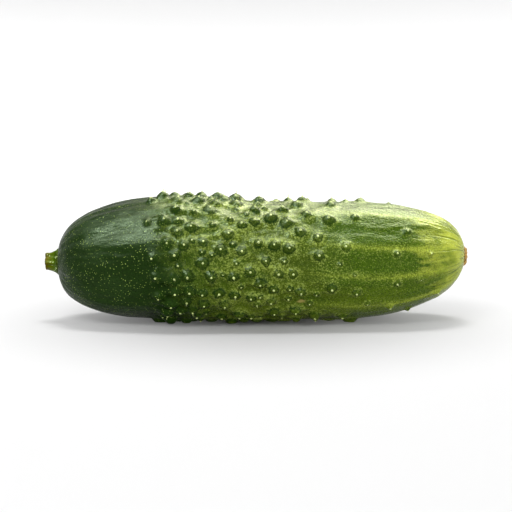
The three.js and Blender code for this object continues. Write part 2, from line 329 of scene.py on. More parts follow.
class Shader:
    """One finish being built: a material, its node tree and its Principled shader."""

    def __init__(self, name: str) -> None:
        """Start a material that holds only its Principled shader."""
        self.material = bpy.data.materials.new(name)
        self.material.use_nodes = True
        self.tree = self.material.node_tree
        self.surface = self.tree.nodes["Principled BSDF"]

    def node(
        self,
        kind: str,
        settings: Mapping[str, object] | None = None,
        inputs: Mapping[str | int, object] | None = None,
    ) -> bpy.types.Node:
        """Add a node.

        Args:
            kind: The node's type.
            settings: Its own settings, made first. "stops" fills a ramp with (place, colour) pairs.
            inputs: A value or a link for each named or numbered socket.

        Returns:
            The new node.
        """
        made = self.tree.nodes.new(kind)
        for name, setting in (settings or {}).items():
            if name == "stops":
                self._fill_ramp(made.color_ramp, setting)
            else:
                setattr(made, name, setting)
        for name, given in (inputs or {}).items():
            self.feed(made.inputs[name], given)
        return made

    def feed(self, socket: Socket, given: object) -> None:
        """Give a socket what it needs.

        Args:
            socket: The socket.
            given: A value or another socket to link, or a number or colour to set.
        """
        if isinstance(given, Value):
            self.tree.links.new(given.socket, socket)
        elif isinstance(given, Socket):
            self.tree.links.new(given, socket)
        else:
            socket.default_value = given

    @staticmethod
    def _fill_ramp(ramp: bpy.types.ColorRamp, stops: Sequence[tuple[float, Colour]]) -> None:
        """Give a colour ramp its stops.

        Args:
            ramp: The ramp.
            stops: A place and a colour each, in order.
        """
        while len(ramp.elements) < len(stops):
            ramp.elements.new(1.0)
        for element, (place, colour) in zip(ramp.elements, stops):
            element.position = place
            element.color = (*colour, 1.0)

    def attribute(self, name: str) -> Value:
        """Return a number stored on the mesh."""
        node = self.node("ShaderNodeAttribute", {"attribute_name": name})
        return Value(self, node.outputs["Fac"])

    def places(self, pattern: Pattern) -> Socket:
        """Return the object's own coordinates for a pattern.

        Args:
            pattern: The pattern, which gives the pace and the seed.

        Returns:
            The coordinates, in millimetres.
        """
        inputs = {
            "Vector": self.node("ShaderNodeTexCoord").outputs["Object"],
            "Location": (pattern.seed,) * 3,
            "Scale": (pattern.pace / MM, 1 / MM, 1 / MM),
        }
        return self.node("ShaderNodeMapping", None, inputs).outputs["Vector"]

    def grain(self, pattern: Pattern) -> Value:
        """Return noise from 0 to 1."""
        inputs = {"Vector": self.places(pattern), "Scale": 1 / pattern.size, "Detail": pattern.detail}
        return Value(self, self.node("ShaderNodeTexNoise", None, inputs).outputs["Fac"])

    def sway(self, pattern: Pattern) -> Value:
        """Return noise round 0, as deep as its pattern says."""
        return (self.grain(pattern) - 0.5) * pattern.depth

    def marks(self, pattern: Pattern) -> Value:
        """Return blotches: 1 inside them and 0 outside."""
        return self.grain(pattern).step(*pattern.edges)

    def dots(self, pattern: Pattern, spread: Value | float = 0) -> Value:
        """Return scattered dots: 1 inside them and 0 outside.

        Args:
            pattern: How far apart they are, and their edges, counted in that.
            spread: How much wider they are.

        Returns:
            The dots.
        """
        inputs = {"Vector": self.places(pattern), "Scale": 1 / pattern.size}
        distance = Value(self, self.node("ShaderNodeTexVoronoi", None, inputs).outputs["Distance"])
        return (distance - spread).step(*pattern.edges)

    def ramp(self, value: Value, stops: Sequence[tuple[float, Colour]]) -> Socket:
        """Return the colour of a ramp at a value."""
        return self.node("ShaderNodeValToRGB", {"stops": stops}, {"Fac": value}).outputs["Color"]

    def blend(self, below: object, above: object, share: Value | float) -> Socket:
        """Return one colour with another laid over it by a share."""
        inputs = {MIX_SHARE: share, MIX_BELOW: self._paint(below), MIX_ABOVE: self._paint(above)}
        return self.node("ShaderNodeMix", {"data_type": "RGBA"}, inputs).outputs[MIX_RESULT]

    def layered(self, colour: Socket, layers: Sequence[tuple[Coat, Value]]) -> Socket:
        """Lay coats over a colour.

        Args:
            colour: The colour.
            layers: The coats from below, each with where it lies.

        Returns:
            What shows.
        """
        for coat, share in layers:
            colour = self.blend(colour, coat.colour, share * coat.cover)
        return colour

    def relief(self, height: Value, depth: float) -> None:
        """Raise the surface by a value, over a depth in millimetres."""
        bump = self.node("ShaderNodeBump", None, {"Height": height, "Distance": depth * MM})
        self.feed(self.surface.inputs["Normal"], bump.outputs["Normal"])

    def finished(
        self, colour: object, roughness: Value | float, specular: float = 0.5, tint: Colour = WHITE
    ) -> Material:
        """Set how the surface looks.

        Args:
            colour: Its base colour.
            roughness: Its roughness.
            specular: How strongly it mirrors.
            tint: The colour of its sheen.

        Returns:
            The material.
        """
        given = {
            "Base Color": colour,
            "Roughness": roughness,
            "Specular IOR Level": specular,
            "Specular Tint": tint,
        }
        for name, look in given.items():
            self.feed(self.surface.inputs[name], self._paint(look))
        return self.material

    @staticmethod
    def _paint(look: object) -> object:
        """Return a plain colour with its alpha; anything else is left as it is."""
        return (*look, 1.0) if isinstance(look, tuple) else look


# ---- The fruit's form ----


@dataclass(frozen=True)
class Place:
    """Places on the fruit's outline: where they are and which way is out."""

    x: np.ndarray
    radius: np.ndarray
    out_x: np.ndarray
    out_radius: np.ndarray


@dataclass
class Outline:
    """The turned form of the fruit, before its ribs and warts."""

    length: float = 126.8
    stem_side_radius: float = 18.95
    flower_side_radius: float = 17.9
    belly_change: Span = (0.24, 0.5)
    shoulder_length: float = 33
    shoulder_power: float = 2.8
    tip_length: float = 37
    tip_power: float = 2.38
    belly_clearance: float = 1
    stem_droop: float = 1.25
    stem_droop_length: float = 36
    tip_lift: float = 1.9
    tip_lift_length: float = 46
    steps: int = 600

    def __post_init__(self) -> None:
        """Measure the outline once, from the stem's pole."""
        turn = np.pi * np.arange(self.steps + 1) / self.steps
        self.stations = self.length * (1 - np.cos(turn)) / 2
        self.radii = self.skin_radius(self.stations)
        self.radii[-1] = 0.0
        ahead = np.hypot(np.diff(self.stations), np.diff(self.radii))
        self.walks = np.concatenate([[0.0], np.cumsum(ahead)])
        self.walk_length = float(self.walks[-1])
        self.step_middles = (self.walks[1:] + self.walks[:-1]) / 2
        self.step_out_x = -np.diff(self.radii) / ahead
        self.step_out_radius = np.diff(self.stations) / ahead

    def belly_radius(self, x: Numbers) -> Numbers:
        """Return the radius of the belly if it ran on to either pole."""
        change = smooth_share(x / self.length, *self.belly_change)
        return mixed(self.stem_side_radius, self.flower_side_radius, change)

    def skin_radius(self, x: np.ndarray) -> np.ndarray:
        """Return the radius of the plain skin."""
        full = self.belly_radius(x) * self._end_share(x, self.shoulder_length, self.shoulder_power)
        return full * self._end_share(self.length - x, self.tip_length, self.tip_power)

    @staticmethod
    def _end_share(distance: np.ndarray, length: float, power: float) -> np.ndarray:
        """Return the share of the belly radius that is left at a distance from a pole."""
        inward = 1 - clamp_share(distance / length)
        return (1 - inward * inward) ** (1 / power)

    def axis_height(self, x: Numbers) -> Numbers:
        """Return how high the fruit's axis lies above the floor.

        Args:
            x: Places along the fruit.

        Returns:
            The height at each.
        """
        droop = self.stem_droop * clamp_share(1 - (x / self.stem_droop_length) ** 2) ** 2
        to_tip = clamp_share(1 - (self.length - x) / self.tip_lift_length)
        return self.belly_radius(x) + self.belly_clearance - droop + self.tip_lift * to_tip**2

    def radius_at(self, walked: Numbers) -> Numbers:
        """Return the radius at a length walked over the skin from the stem's pole."""
        return np.interp(walked, self.walks, self.radii)

    def x_at(self, walked: Numbers) -> Numbers:
        """Return x at a length walked over the skin from the stem's pole."""
        return np.interp(walked, self.walks, self.stations)

    def place_at(self, walked: np.ndarray) -> Place:
        """Return places on the outline.

        Args:
            walked: Lengths walked from the stem's pole.

        Returns:
            The places there.
        """
        out_x = np.interp(walked, self.step_middles, self.step_out_x)
        out_radius = np.interp(walked, self.step_middles, self.step_out_radius)
        size = np.hypot(out_x, out_radius)
        return Place(self.x_at(walked), self.radius_at(walked), out_x / size, out_radius / size)


@dataclass(frozen=True)
class Wart:
    """One wart: where it sits on the skin, in millimetres walked and radians, and its size."""

    walked: float
    bearing: float
    radius: float
    girth: float
    has_spine: bool

    def distance(self, walked: Numbers, bearing: Numbers, ease: float = 1) -> Numbers:
        """Return the distance over the skin from the wart's centre.

        Args:
            walked: Lengths walked from the stem's pole.
            bearing: Bearings in radians.
            ease: How much shorter the way along the fruit counts.

        Returns:
            The distance, in millimetres.
        """
        along = (walked - self.walked) / ease
        return np.hypot(along, self.girth * wrapped(bearing - self.bearing))


@dataclass(frozen=True)
class Scattering:
    """One random scattering of warts: its stream of numbers, its room and its sizes."""

    seed: int
    tries: int
    spacing: float
    small: float
    large: float


@dataclass
class WartRule:
    """How warts are scattered and how one is domed."""

    outline: Outline
    main: Scattering = Scattering(20, 2100, 3.6, 1.8, 2.65)
    buds: Scattering = Scattering(41, 900, 2.7, 0.95, 1.4)
    sparse_spacing: float = 2
    rise: float = 0.46
    top_power: float = 2.4
    foot_power: float = 1.5
    tip_end_size: float = 0.6
    shrinking: Span = (0.62, 0.9)
    crowding_shares: tuple[float, ...] = (0.225, 0.26, 0.5, 0.66, 0.72, 0.93, 0.96)
    crowding: tuple[float, ...] = (0, 1, 1, 0.5, 0.17, 0.1, 0)
    foot_shares: Span = (0.29, 0.7)
    foot_bearings: Span = (259, 281)
    foot_radius: float = 3.05

    def grow(self) -> list[Wart]:
        """Grow the warts.

        Returns:
            Those that the fruit lies on, the scattered ones and the small buds.
        """
        length = self.outline.walk_length
        warts = [
            self._wart(share * length, math.radians(degrees), self.foot_radius, False)
            for share in self.foot_shares
            for degrees in self.foot_bearings
        ]
        for scattering in (self.main, self.buds):
            self._scatter(warts, scattering)
        return warts

    def crowding_at(self, share: Numbers) -> Numbers:
        """Return how crowded the warts are at shares of the fruit's length, from 0 to 1."""
        return np.interp(share, self.crowding_shares, self.crowding)

    def _scatter(self, warts: list[Wart], scattering: Scattering) -> None:
        """Add the warts of one scattering.

        Args:
            warts: Those that are there, which grow.
            scattering: The scattering.
        """
        draw = number_stream(scattering.seed)
        for _ in range(scattering.tries):
            walked = next(draw) * self.outline.walk_length
            bearing = FULL_TURN * next(draw)
            size = next(draw)
            luck = next(draw)
            share = float(self.outline.x_at(walked)) / self.outline.length
            fullness = float(self.outline.radius_at(walked)) / self.outline.stem_side_radius
            crowding = float(self.crowding_at(share)) * fullness
            if luck > crowding:
                continue
            room = mixed(self.sparse_spacing, 1, min(crowding, 1.0)) * scattering.spacing
            if any(wart.distance(walked, bearing) < room for wart in warts):
                continue
            shrunk = mixed(1, self.tip_end_size, smooth_share(share, *self.shrinking))
            radius = mixed(scattering.small, scattering.large, size) * shrunk
            warts.append(self._wart(walked, bearing, float(radius), True))

    def _wart(self, walked: float, bearing: float, radius: float, has_spine: bool) -> Wart:
        """Return a wart at a place of the outline."""
        return Wart(walked, bearing, radius, float(self.outline.radius_at(walked)), has_spine)


@dataclass
class RibRule:
    """The low ribs that run along the fruit."""

    bearings: tuple[float, ...] = (18, 57, 94, 130, 165, 199, 233, 268, 315, 349)
    half_width: float = 21
    height_at_stem: float = 0.1
    height_at_flower: float = 0.5
    fade_radius: float = 12

    def crest(self, bearing: np.ndarray, half_width: float) -> np.ndarray:
        """Return how near the crest of a rib is.

        Args:
            bearing: Bearings in radians.
            half_width: Where it falls to 0, in degrees.

        Returns:
            1 on a crest, falling to 0.
        """
        total = np.zeros_like(bearing)
        for degrees in self.bearings:
            off = np.abs(wrapped(bearing - math.radians(degrees))) / math.radians(half_width)
            total += np.where(off < 1, (1 + np.cos(np.pi * off)) / 2, 0)
        return total

    def fading(self, place: Place) -> np.ndarray:
        """Return 1 on the belly, falling to 0 at the poles."""
        return clamp_share(place.radius / self.fade_radius) ** 2

    def lift(self, place: Place, bearing: np.ndarray, share: np.ndarray) -> np.ndarray:
        """Return how far the ribs lift the skin at shares of the fruit's length."""
        height = mixed(self.height_at_stem, self.height_at_flower, share)
        return height * self.fading(place) * self.crest(bearing, self.half_width)


@dataclass(frozen=True)
class SkinFields:
    """What the skin is like at each place.

    The lift is in millimetres and the distance to the nearest wart is in its radius. The fold and
    the hollow, the low ground between warts and folds, are shares from 0 to 1, and the streak is
    noise round 0.
    """

    lift: np.ndarray
    wart_off: np.ndarray
    fold: np.ndarray
    hollow: np.ndarray
    streak: np.ndarray


@dataclass
class FruitForm:
    """The whole form of the fruit and where it lies in the frame.

    The flute's fading and the tip's swelling are shares of the length. A wart's width, the skirts'
    reach and far_off are counted in the wart's radius.
    """

    start_x: float
    centre_y: float
    outline: Outline = field(default_factory=Outline)
    ribs: RibRule = field(default_factory=RibRule)
    swell: Pattern = Pattern(11, pace=0.5, seed=4, depth=0.2)
    fold: Pattern = Pattern(4.2, pace=1 / 3.6, seed=9, depth=0.46)
    fold_sharpness: float = 2.6
    lone_fold: float = 0.25
    flute: Pattern = Pattern(3, pace=1 / 9, seed=21, depth=0.34)
    flute_fading: Span = (0.25, 0.5)
    faded_flute: float = 0.35
    streak: Pattern = Pattern(1.1, pace=1 / 9, seed=35)
    wart_seed: int = 31
    wart_height: float = 1.22
    wart_heights: Span = (0.6, 1.15)
    wart_width: float = 0.77
    wart_top_power: float = 2.2
    wart_foot_power: float = 1.0
    wart_raggedness: Pattern = Pattern(1.7, seed=14, depth=0.3)
    wart_stretch: float = 1.12
    skirt: float = 0.66
    lone_skirt: float = 0.3
    skirt_reach: Span = (2.2, 0.5)
    far_off: float = 3.0
    tip_swell: float = 0.42
    tip_swelling: Span = (0.91, 0.965)

    def __post_init__(self) -> None:
        """Grow the warts on the outline."""
        self.wart_rule = WartRule(self.outline)
        self.warts = self.wart_rule.grow()

    def to_frame(
        self, x: np.ndarray, radius: np.ndarray, bearing: np.ndarray, height: Numbers
    ) -> np.ndarray:
        """Turn places given round an axis into frame coordinates.

        Args:
            x: How far they are along the fruit.
            radius: How far they are from the axis.
            bearing: Their bearings in radians.
            height: How high the axis lies there.

        Returns:
            The coordinates in metres, one row each.
        """
        across = self.centre_y - radius * np.cos(bearing)
        up = height + radius * np.sin(bearing)
        return np.stack([self.start_x + x, across, up], axis=-1) * MM

    def lifted(self, walked: np.ndarray, bearing: np.ndarray, lift: np.ndarray) -> np.ndarray:
        """Return where places of the skin lie.

        Args:
            walked: Lengths walked over the skin from the stem's pole, in millimetres.
            bearing: Bearings in radians.
            lift: How far they are lifted off the plain outline.

        Returns:
            Their frame coordinates, none of them below the floor.
        """
        place = self.outline.place_at(walked)
        x = place.x + lift * place.out_x
        radius = place.radius + lift * place.out_radius
        spots = self.to_frame(x, radius, bearing, self.outline.axis_height(x))
        spots[:, 2] = np.maximum(spots[:, 2], 0.0)
        return spots

    def fields(self, walked: np.ndarray, bearing: np.ndarray) -> SkinFields:
        """Work out the skin's relief.

        Args:
            walked: Lengths walked over the skin from the stem's pole, in millimetres.
            bearing: Bearings in radians.

        Returns:
            The lift and what the finish reads, one value a place.
        """
        place = self.outline.place_at(walked)
        share = place.x / self.outline.length
        crowding = self.wart_rule.crowding_at(share)
        fading = self.ribs.fading(place)
        across, up = np.cos(bearing), np.sin(bearing)
        points = np.stack([place.x, place.radius * across, place.radius * up], axis=-1)
        girth = self.outline.stem_side_radius
        rounds = np.stack([walked, girth * across, girth * up], axis=-1)

        fold = clamp_share(1 - self.fold_sharpness * np.abs(soft_noise(points, self.fold)))
        fold = fold * fading * mixed(self.lone_fold, 1, crowding)
        flute = soft_noise(rounds, self.flute)
        flute = flute * mixed(1, self.faded_flute, smooth_share(share, *self.flute_fading))
        swell = soft_noise(points, self.swell)
        wart_lift, wart_off, bare = self._warts_at(walked, bearing, points)

        soft = self.swell.depth * swell + self.flute.depth * flute
        lift = self.ribs.lift(place, bearing, share) + fading * soft + self.fold.depth * fold
        lift = lift + self.skirt * ((1 - bare) * mixed(self.lone_skirt, 1, crowding)) + wart_lift
        lift = lift + self.tip_swell * smooth_share(share, *self.tip_swelling)
        # the hollow marks where the finish paints shade between warts and folds
        hollow = crowding * bare * (1 - fold)
        return SkinFields(lift, wart_off, fold, hollow, soft_noise(rounds, self.streak))

    def _warts_at(
        self, walked: np.ndarray, bearing: np.ndarray, points: np.ndarray
    ) -> tuple[np.ndarray, np.ndarray, np.ndarray]:
        """Work out the warts' relief.

        Args:
            walked: Lengths walked over the skin from the stem's pole, in millimetres.
            bearing: Bearings in radians.
            points: The same places round the fruit's axis.

        Returns:
            How far the warts lift the skin, the distance to the nearest, and how bare it is of skirts.
        """
        ragged = 1 + self.wart_raggedness.depth * soft_noise(points, self.wart_raggedness)
        lift = np.zeros_like(walked)
        nearest = np.full_like(walked, self.far_off)
        bare = np.ones_like(walked)
        outer, inner = self.skirt_reach
        draw = number_stream(self.wart_seed)
        for wart in self.warts:
            distance = wart.distance(walked, bearing, self.wart_stretch)
            off = distance * ragged / (self.wart_width * wart.radius)
            height = self.wart_height * mixed(*self.wart_heights, next(draw)) if wart.has_spine else 1.0
            lift = np.maximum(lift, height * self._dome(wart, off))
            nearest = np.minimum(nearest, off)
            bare = bare * (1 - smooth_share(-off, -outer, -inner))
        return lift, nearest, bare

    def _dome(self, wart: Wart, off: np.ndarray) -> np.ndarray:
        """Return how high a wart's dome is.

        Args:
            wart: The wart. One with a spine is steeper than in the solid.
            off: Distances from its centre, in its radius.

        Returns:
            The height at each.
        """
        rule = self.wart_rule
        top, foot = rule.top_power, rule.foot_power
        if wart.has_spine:
            top, foot = self.wart_top_power, self.wart_foot_power
        return rule.rise * wart.radius * (1 - clamp_share(off) ** top) ** foot


# ---- Skin ----


class SkinShader(Shader):
    """The skin's shader, with the numbers that its mesh carries as values."""

    def __init__(self, finish: SkinFinish) -> None:
        """Start the shader.

        Args:
            finish: The skin's finish, which says what counts as green and as a wart's dome.
        """
        super().__init__("cucumber_skin")
        self.along = self.attribute("along")
        self.ripeness = self.attribute("ripeness")
        self.painted_underside = self.attribute("painted_underside")
        self.crest = self.attribute("crest")
        self.ridge = self.attribute("ridge")
        self.wart_off = self.attribute("wart_off")
        self.fold = self.attribute("fold")
        self.hollow = self.attribute("hollow")
        self.streak = self.attribute("streak")
        self.blemish = self.attribute("blemish")
        self.green = self.ripeness.step(*finish.green_ripe)
        self.dome = self.wart_off.step(*finish.dome_off)
        self.mottle = self.sway(finish.mottle)


@dataclass(frozen=True)
class SkinFinish:
    """Waxy cucumber skin: dark at the stem, olive along the belly, yellow-green at the flower end.

    A span is two places along the fruit, as shares of its length, between which something grows. One
    with "off" in its name is two distances from a wart, in its radius, and one with "ripe" in its
    name is two ripenesses.
    """

    dark: Colour = (0.0050, 0.0178, 0.0003)
    deep: Colour = (0.031, 0.059, 0.002)
    olive: Colour = (0.043, 0.068, 0.0025)
    light: Colour = (0.037, 0.074, 0.0015)
    tip: Colour = (0.35, 0.395, 0.044)
    pale: Colour = (0.21, 0.27, 0.05)
    stripe: Colour = (0.225, 0.28, 0.028)
    # the warts' own dark green, also laid round their feet as painted shade
    wart: Coat = Coat((0.009, 0.028, 0.0008), 1.0)
    # painted shade: the wart green laid in the low hollows between warts and folds
    hollow: Coat = Coat((0.009, 0.028, 0.0008), 0.38)
    bloom: Coat = Coat((0.017, 0.040, 0.008), 0.45)
    # painted light: a lighter green on the underside, standing in for light thrown up from the floor
    belly: Coat = Coat((0.105, 0.15, 0.007), 0.5)
    shadowy: Coat = Coat((0.026, 0.066, 0.002), 0.4)
    vein: Coat = Coat((0.10, 0.15, 0.006), 0.8)
    blotch: Coat = Coat((0.10, 0.15, 0.006), 0.62)
    scar_rim: Coat = Coat((0.16, 0.11, 0.015), 0.8)
    pit: Coat = Coat((0.003, 0.009, 0.0005), 1.0)
    speck: Coat = Coat((0.34, 0.46, 0.10), 1.0)
    scratch: Coat = Coat((0.33, 0.25, 0.08), 0.6)

    drift: Pattern = Pattern(14, pace=0.5, depth=0.09)
    fine_drift: Pattern = Pattern(1.6, pace=0.6, seed=7, depth=0.05)
    mottle: Pattern = Pattern(2.4, 3, 0.6, 47)
    blooms: Pattern = Pattern(13, pace=0.5, seed=59, edges=(0.45, 0.65))
    patches: Pattern = Pattern(6, pace=0.45, seed=53, edges=(0.5, 0.68))
    blotches: Pattern = Pattern(4, 3, 0.7, 97, (0.52, 0.62))
    core_breaks: Pattern = Pattern(5, pace=0.4, seed=43, edges=(0.3, 0.6))
    fleck_patches: Pattern = Pattern(2.2, pace=0.6, seed=73)
    coarse_flecks: Pattern = Pattern(0.62, pace=0.9, seed=11, edges=(0.26, 0.02))
    fine_flecks: Pattern = Pattern(0.42, pace=0.9, seed=23, edges=(0.26, 0.02))
    pits: Pattern = Pattern(0.36, 1, 0.8, 91, (0.48, 0.62))
    specks: Pattern = Pattern(0.6, pace=0.8, seed=5, edges=(0.2, 0.1))
    speck_clusters: Pattern = Pattern(5, pace=0.5, seed=17, edges=(0.38, 0.58))
    scratch_edge: Pattern = Pattern(0.8, 3, 0.4, 67)
    fine_wear: Pattern = Pattern(0.5, 3, 0.7, 21, depth=0.5)
    broad_wear: Pattern = Pattern(4, pace=0.4, seed=37, depth=0.5)
    fine_pores: Pattern = Pattern(0.45, pace=0.8, seed=31)
    broad_pores: Pattern = Pattern(1.3, pace=0.5, seed=41)
    waves: Pattern = Pattern(7, 3, 0.3, 83)

    green_ripe: Span = (0.19, 0.42)
    bloom_ripe: Span = (0.3, 0.2)
    reach_span: Span = (0.78, 0.88)
    crest_reach: float = 0.03
    streak_reach: float = 0.05
    mottle_reach: float = 0.09
    before_tip: Span = (0.92, 0.86)
    streak_edges: Span = (0.1, 0.45)
    vein_span: Span = (0.9, 0.97)
    blotch_start: Span = (0.86, 0.9)
    blotch_end: Span = (0.985, 0.95)
    rim_span: Span = (0.9952, 0.9975)

    dome_off: Span = (1.0, 0.8)
    # painted shade: a thin dark ring round each wart's foot, where the crease there would be shaded
    foot_shade_outer_off: Span = (1.25, 1.0)
    foot_shade_inner_off: Span = (0.6, 0.9)
    halo_off: Span = (1.9, 1.25)
    dome_dark: float = 0.62
    foot_painted_shade: float = 0.8
    wart_fading: Span = (0.8, 0.4)
    faded_wart: float = 0.45
    wart_end: Span = (0.97, 0.85)

    stripe_span: Span = (0.55, 0.92)
    early_stripe: float = 0.12
    core_crest: Span = (0.84, 0.99)
    stripe_strength: float = 0.7
    core_strength: float = 0.4
    stripe_cover: float = 0.44
    stripe_mottle: float = 0.6
    ridge_span: Span = (0.85, 0.5)
    ridge_pale: float = 0.32
    fold_pale: float = 0.5
    halo_pale: float = 0.6

    pale_spread: float = 0.24
    patch_spread: float = 0.25
    coarse_strength: float = 0.75
    fine_strength: float = 0.5
    dome_bare: float = 0.35
    fleck_cover: float = 0.33
    flower_fleck_cover: float = 0.12
    flower_fleck_span: Span = (0.5, 0.7)
    pale_fleck_cover: float = 0.36
    pit_cover: float = 0.62
    green_pit_cover: float = 0.24
    flower_pit_cover: float = 0.1
    flower_pit_span: Span = (0.55, 0.75)
    pit_end: Span = (0.98, 0.9)
    speck_end: Span = (0.45, 0.25)
    lone_speck: float = 0.4
    scratch_edges: Span = (0.25, 0.75)

    roughness: float = 0.32
    stem_wear: float = 0.07
    stem_wear_end: Span = (0.35, 0.15)
    specular: float = 0.11
    sheen: Colour = (0.8, 1.0, 0.65)
    bump: float = 0.15
    pore_height: float = 0.7
    green_pore_height: float = 0.6
    wave_heights: Span = (8.0, 2.0)
    wave_span: Span = (0.2, 0.6)
    crease_height: float = 2.4
    crease_span: Span = (0.86, 0.95)

    def build(self) -> Material:
        """Build the finish.

        Returns:
            The skin's material.
        """
        skin = SkinShader(self)
        colour = self._marks(skin, self._flecks(skin, self._ground(skin)))
        self._raise(skin)
        worn = self.roughness + skin.sway(self.fine_wear) + skin.sway(self.broad_wear)
        worn = worn + skin.along.step(*self.stem_wear_end) * self.stem_wear - skin.green * self.stem_wear
        return skin.finished(colour, worn, self.specular, self.sheen)

    def _ground(self, skin: SkinShader) -> Socket:
        """Return the ground colour, from the stem to the scar's rim, with the dark warts.

        Args:
            skin: The skin's shader.

        Returns:
            The colour.
        """
        along, ripeness = skin.along, skin.ripeness
        reach = skin.crest * self.crest_reach + skin.streak * self.streak_reach
        reach = (reach + skin.mottle * self.mottle_reach) * along.step(*self.reach_span)
        stops = [
            (0.21, self.dark),
            (0.29, self.deep),
            (0.43, self.olive),
            (0.58, self.olive),
            (0.70, self.light),
            (0.87, self.light),
            (0.95, self.tip),
        ]
        colour = skin.ramp(ripeness + skin.sway(self.drift) + skin.sway(self.fine_drift) + reach, stops)
        middle = skin.green * along.step(*self.before_tip)
        veined = skin.streak.step(*self.streak_edges) * along.step(*self.vein_span)
        blotched = along.step(*self.blotch_start) * along.step(*self.blotch_end)
        # painted shade: a dark ring round each wart's foot; the dark dome itself is the wart's own
        # colour
        foot = skin.wart_off.step(*self.foot_shade_outer_off) * skin.wart_off.step(*self.foot_shade_inner_off)
        dark = skin.dome * self.dome_dark + foot * self.foot_painted_shade
        dark = dark * mixed(self.faded_wart, 1, along.step(*self.wart_fading))
        layers = [
            (self.bloom, skin.marks(self.blooms) * ripeness.step(*self.bloom_ripe)),
            # painted light: the underside coloured lighter
            (self.belly, skin.painted_underside * middle),
            (self.shadowy, skin.marks(self.patches) * middle),
            (self.vein, veined),
            (self.blotch, skin.marks(self.blotches) * blotched),
            # painted shade in the hollows between the warts and folds
            (self.hollow, skin.hollow * skin.green),
            (self.scar_rim, along.step(*self.rim_span)),
            (self.wart, dark * along.step(*self.wart_end)),
        ]
        return skin.layered(colour, layers)

    def _flecks(self, skin: SkinShader, colour: Socket) -> Socket:
        """Lay the pale stripes and the flecks over the ground.

        Args:
            skin: The skin's shader.
            colour: The ground.

        Returns:
            The colour.
        """
        along, crest = skin.along, skin.crest
        ripe = skin.green * self.early_stripe + along.step(*self.stripe_span) * (1 - self.early_stripe)
        core = crest.step(*self.core_crest) * skin.marks(self.core_breaks)
        stripe = (crest * crest * self.stripe_strength + core * self.core_strength) * ripe
        cover = self.stripe_cover + skin.mottle * self.stripe_mottle
        colour = skin.blend(colour, self.stripe, stripe * cover)

        ridge = skin.ridge * self.ridge_pale * along.step(*self.ridge_span)
        halo = skin.wart_off.step(*self.halo_off) * (1 - skin.dome)
        paleness = stripe + ridge + skin.fold * self.fold_pale + halo * self.halo_pale
        spread = paleness * self.pale_spread + skin.grain(self.fleck_patches) * self.patch_spread
        coarse = skin.dots(self.coarse_flecks, spread) * self.coarse_strength
        fine = skin.dots(self.fine_flecks, spread) * self.fine_strength
        flecks = (coarse + fine) * skin.green * (1 - skin.dome * self.dome_bare)
        cover = self.fleck_cover + along.step(*self.flower_fleck_span) * self.flower_fleck_cover
        cover = cover + paleness * self.pale_fleck_cover
        return skin.blend(colour, skin.blend(self.pale, self.stripe, stripe), flecks * cover)

    def _marks(self, skin: SkinShader, colour: Socket) -> Socket:
        """Lay the pits, the stem end's specks and the healed scratches over the rest.

        Args:
            skin: The skin's shader.
            colour: The colour so far.

        Returns:
            The skin's colour.
        """
        along = skin.along
        cover = self.pit_cover - skin.green * self.green_pit_cover
        cover = cover + along.step(*self.flower_pit_span) * self.flower_pit_cover
        clusters = mixed(self.lone_speck, 1, skin.marks(self.speck_clusters))
        layers = [
            (self.pit, skin.marks(self.pits) * cover * along.step(*self.pit_end)),
            (self.speck, skin.dots(self.specks) * along.step(*self.speck_end) * clusters),
            (self.scratch, (skin.blemish + skin.sway(self.scratch_edge)).step(*self.scratch_edges)),
        ]
        return skin.layered(colour, layers)

    def _raise(self, skin: SkinShader) -> None:
        """Give the skin its pores, its soft waves and the creases round the flower scar.

        Args:
            skin: The skin's shader.
        """
        pores = skin.grain(self.fine_pores) + skin.grain(self.broad_pores)
        pores = pores * (self.pore_height + skin.green * self.green_pore_height)
        waves = skin.grain(self.waves) * mixed(*self.wave_heights, skin.along.step(*self.wave_span))
        creases = skin.streak.step(*self.streak_edges) * skin.along.step(*self.crease_span)
        skin.relief(pores + waves - creases * self.crease_height, self.bump)


@dataclass(frozen=True)
class Blemish:
    """A healed scratch in the skin: its place, with the bearing in degrees, and half its sizes."""

    x: float
    bearing: float
    length: float
    width: float


